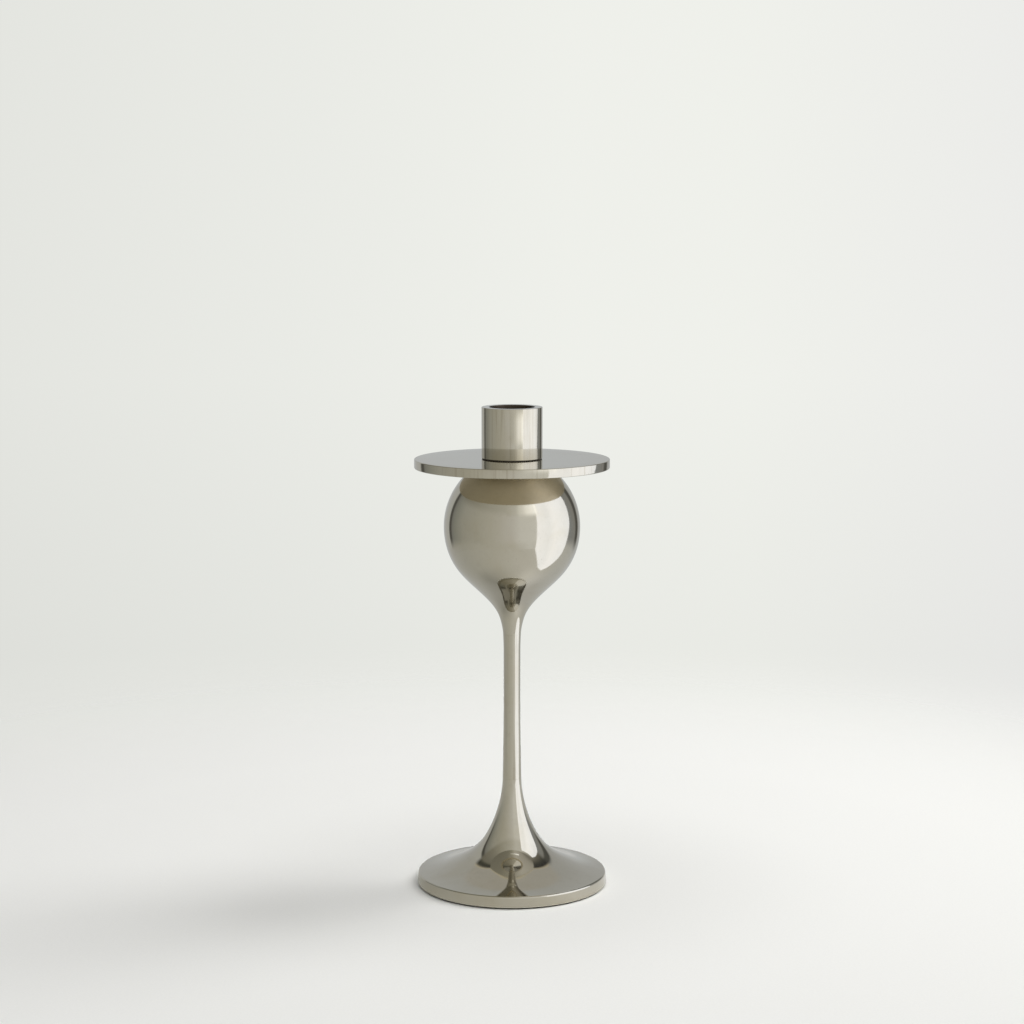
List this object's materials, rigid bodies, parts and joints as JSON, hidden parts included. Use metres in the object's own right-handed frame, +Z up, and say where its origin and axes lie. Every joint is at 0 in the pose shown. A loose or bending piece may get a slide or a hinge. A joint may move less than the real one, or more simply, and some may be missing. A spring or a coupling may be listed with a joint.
{
  "type": "candlestick",
  "caption": "Single-light candlestick: flared round foot, slender stem, hollow bulb, flat drip disc and a screw-in cylindrical candle cup.",
  "frame": {"origin": "on the axis, at the underside of the felt where the candlestick stands", "axes": "+Z up along the axis; the part is turned, so +X and +Y are alike"},
  "size_m": [0.0964, 0.0964, 0.24],
  "materials": {
    "silver_plate": "polished silver plate on brass, warm, lightly worn",
    "bare_brass": "turned",
    "zinc_steel": "zinc-plated",
    "cast_iron": "as cast",
    "felt": "pressed felt",
    "fibre": "vulcanised fibre"
  },
  "bodies": {
    "stand": {"felt_pad": "felt", "foot_casting": "silver_plate", "foot_ballast": "cast_iron", "spreader_washer": "zinc_steel", "spring_washer": "zinc_steel", "tie_rod_nut": "zinc_steel", "tie_rod": "zinc_steel", "foot_neck_bush": "bare_brass", "stem_tube": "silver_plate", "bulb_neck_bush": "bare_brass", "bulb_lower_shell": "silver_plate", "bulb_seam_ring": "bare_brass", "bulb_upper_shell": "silver_plate", "bulb_top_cap": "bare_brass", "drip_disc": "silver_plate"},
    "cup_riser": {"cup_seat_washer": "fibre"},
    "cup": {"candle_cup": "silver_plate", "cup_stud": "zinc_steel"}
  },
  "joints": [
    {"name": "cup_rise", "type": "slide", "parent": "stand", "child": "cup_riser", "axis": [0, 0, 1], "range_m": [0, 0.0075]},
    {"name": "cup_unscrew", "type": "hinge", "parent": "cup_riser", "child": "cup", "pos_m": [0, 0, 0.2149], "axis": [0, 0, 1], "range_deg": [0, 2160]}
  ],
  "couplings": [
    {"joint": "cup_rise", "follows": "cup_unscrew", "m_per_rad": 0.00019894}
  ]
}
